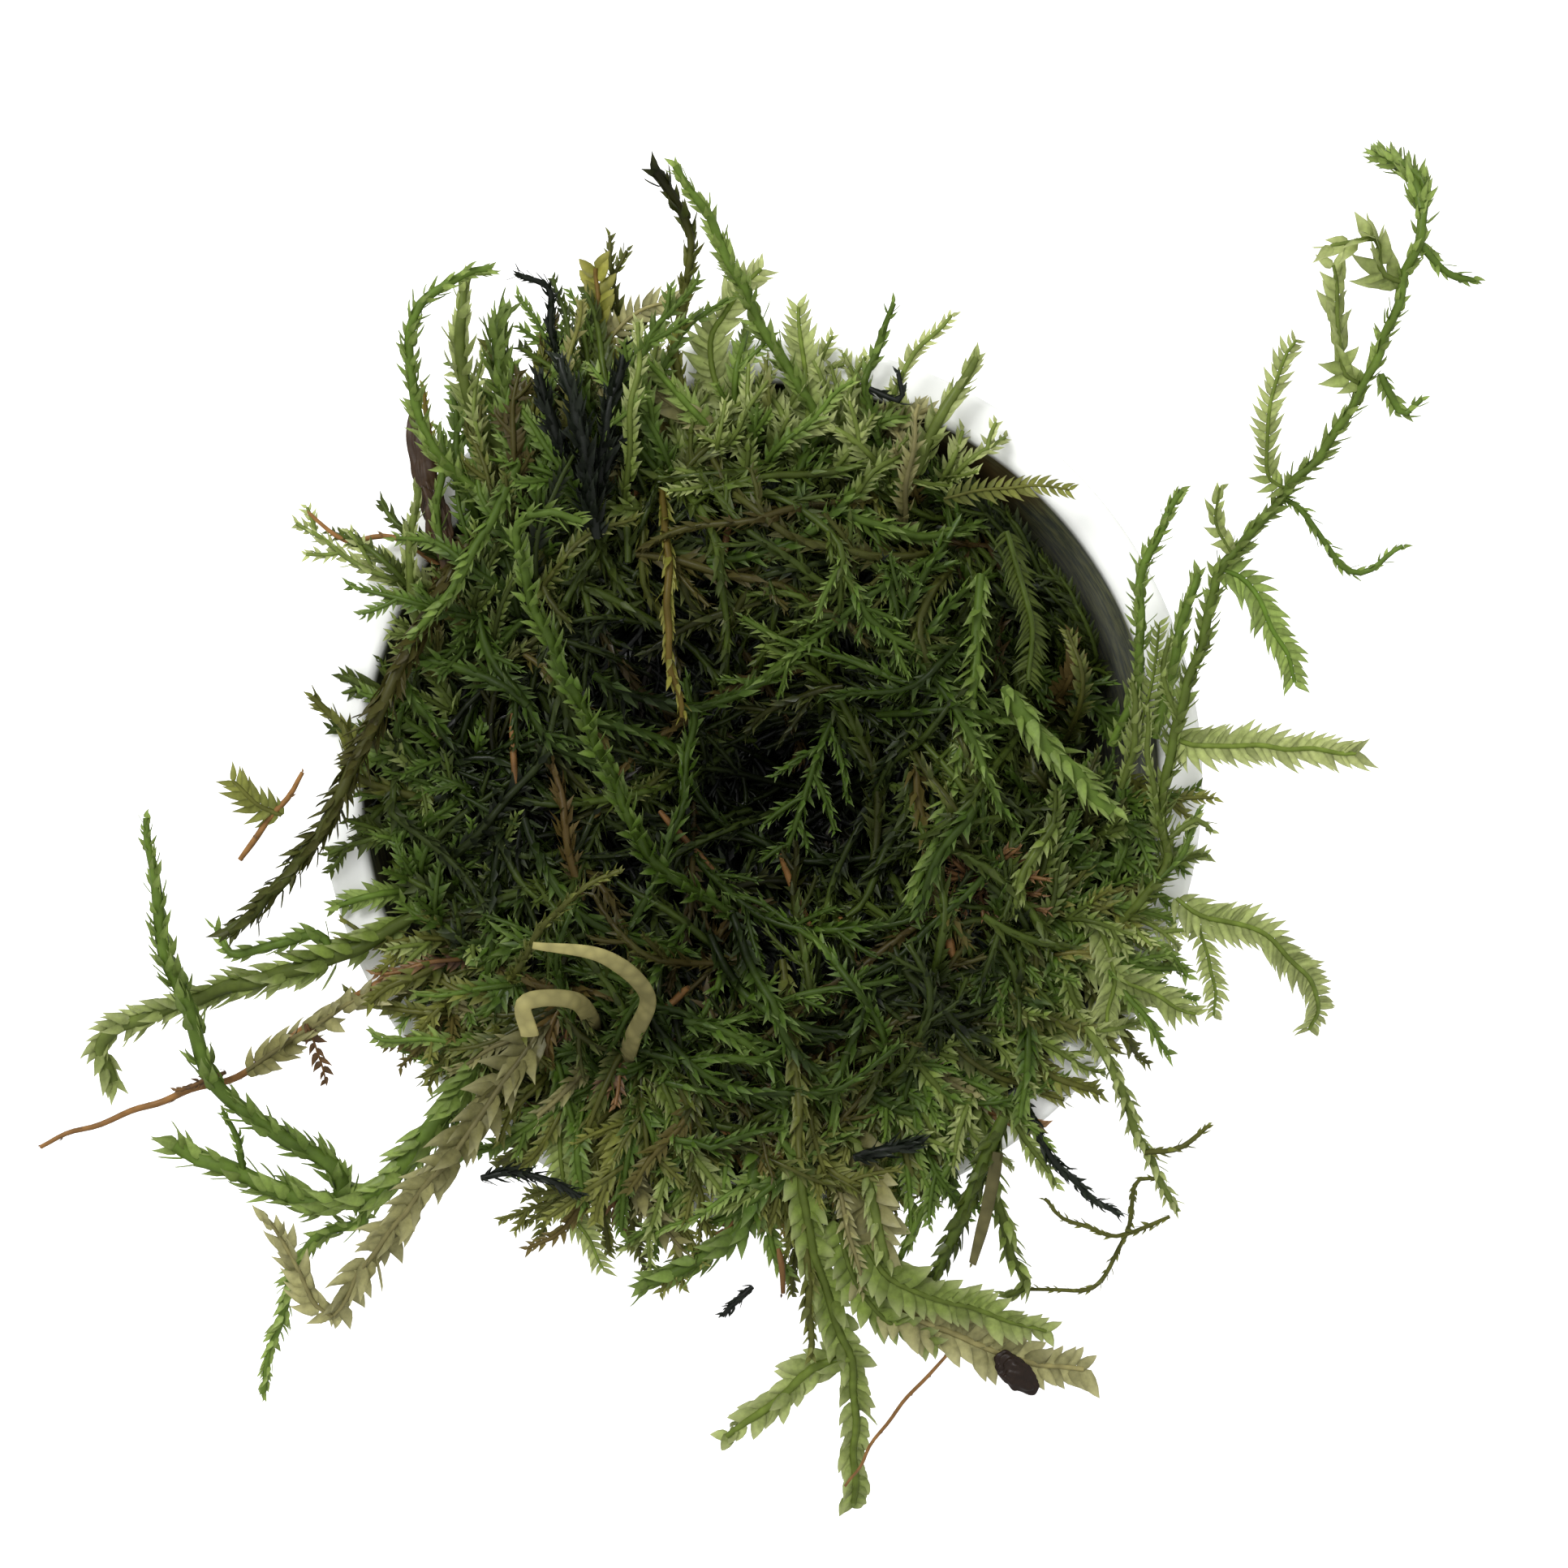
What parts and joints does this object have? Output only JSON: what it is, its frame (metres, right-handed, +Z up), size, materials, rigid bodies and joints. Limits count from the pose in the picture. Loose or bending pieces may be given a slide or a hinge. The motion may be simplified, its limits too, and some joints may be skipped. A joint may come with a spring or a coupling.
{
  "type": "christmas moss cup",
  "caption": "Christmas moss packed in a small round white cup, its feathery shoots spilling over the lip all round.",
  "frame": {"origin": "centre of the cup's flat underside", "axes": "+Z up along the cup's axis; +X and +Y are the right and the top of the plan, seen from above"},
  "size_m": [0.0946, 0.0937, 0.0536],
  "materials": {
    "cup_white": "satin",
    "moss_bright": "matte",
    "moss_green": "matte",
    "moss_dark": "matte",
    "moss_black": "matte",
    "moss_olive": "matte",
    "moss_golden": "matte",
    "moss_beige": "matte",
    "dead_brown": "matte"
  },
  "bodies": {
    "root": {"cup": "cup_white", "moss_bed": "moss_dark", "long_shoot": "moss_green", "long_shoot_fan": "moss_bright", "long_shoot_low_branch": "moss_green", "long_shoot_curl": "moss_green", "long_shoot_middle_branch": "moss_bright", "long_shoot_high_branch": "moss_bright", "long_shoot_tuft": "moss_bright", "east_tall_sprig": "moss_green", "east_short_sprig": "moss_green", "east_drooping_shoot": "moss_bright", "east_broad_shoot": "moss_bright", "southeast_shoot": "moss_bright", "southeast_loop": "moss_olive", "southeast_dark_shoot": "moss_black", "south_bright_shoot": "moss_bright", "south_grey_shoot": "moss_dark", "south_shoot": "moss_bright", "south_shoot_side": "moss_bright", "south_broad_shoot": "moss_beige", "rhizoid_thread": "dead_brown", "south_feather": "moss_olive", "south_sprig": "moss_bright", "black_shoot": "moss_black", "beige_shoot": "moss_beige", "beige_shoot_side": "moss_beige", "southwest_thick_shoot": "moss_green", "southwest_long_shoot": "moss_green", "southwest_low_shoot": "moss_green", "withered_stem": "dead_brown", "west_shoot": "moss_bright", "west_shoot_curl": "moss_green", "dark_long_shoot": "moss_dark", "brown_cross_stem": "dead_brown", "brown_curl": "dead_brown", "northwest_arch": "moss_green", "northwest_shoot": "moss_bright", "northwest_broad_shoot": "moss_green", "dark_curl": "moss_black", "black_tuft": "moss_black", "golden_tip_shoot": "moss_golden", "black_tip_shoot": "moss_dark", "north_long_shoot": "moss_green", "north_pale_shoot": "moss_bright", "north_twisted_sprig": "moss_green", "northeast_shoot": "moss_bright", "northeast_feather": "moss_bright", "pale_east_blade": "moss_bright", "diagonal_shoot": "moss_green", "olive_shoot": "moss_olive", "leaning_shoot": "moss_green", "golden_shoot": "moss_golden", "yellow_stem": "moss_golden", "pale_curled_blade": "moss_beige", "pale_bent_blade": "moss_beige", "seed_husk": "dead_brown", "bark_strip": "dead_brown"}
  },
  "joints": []
}
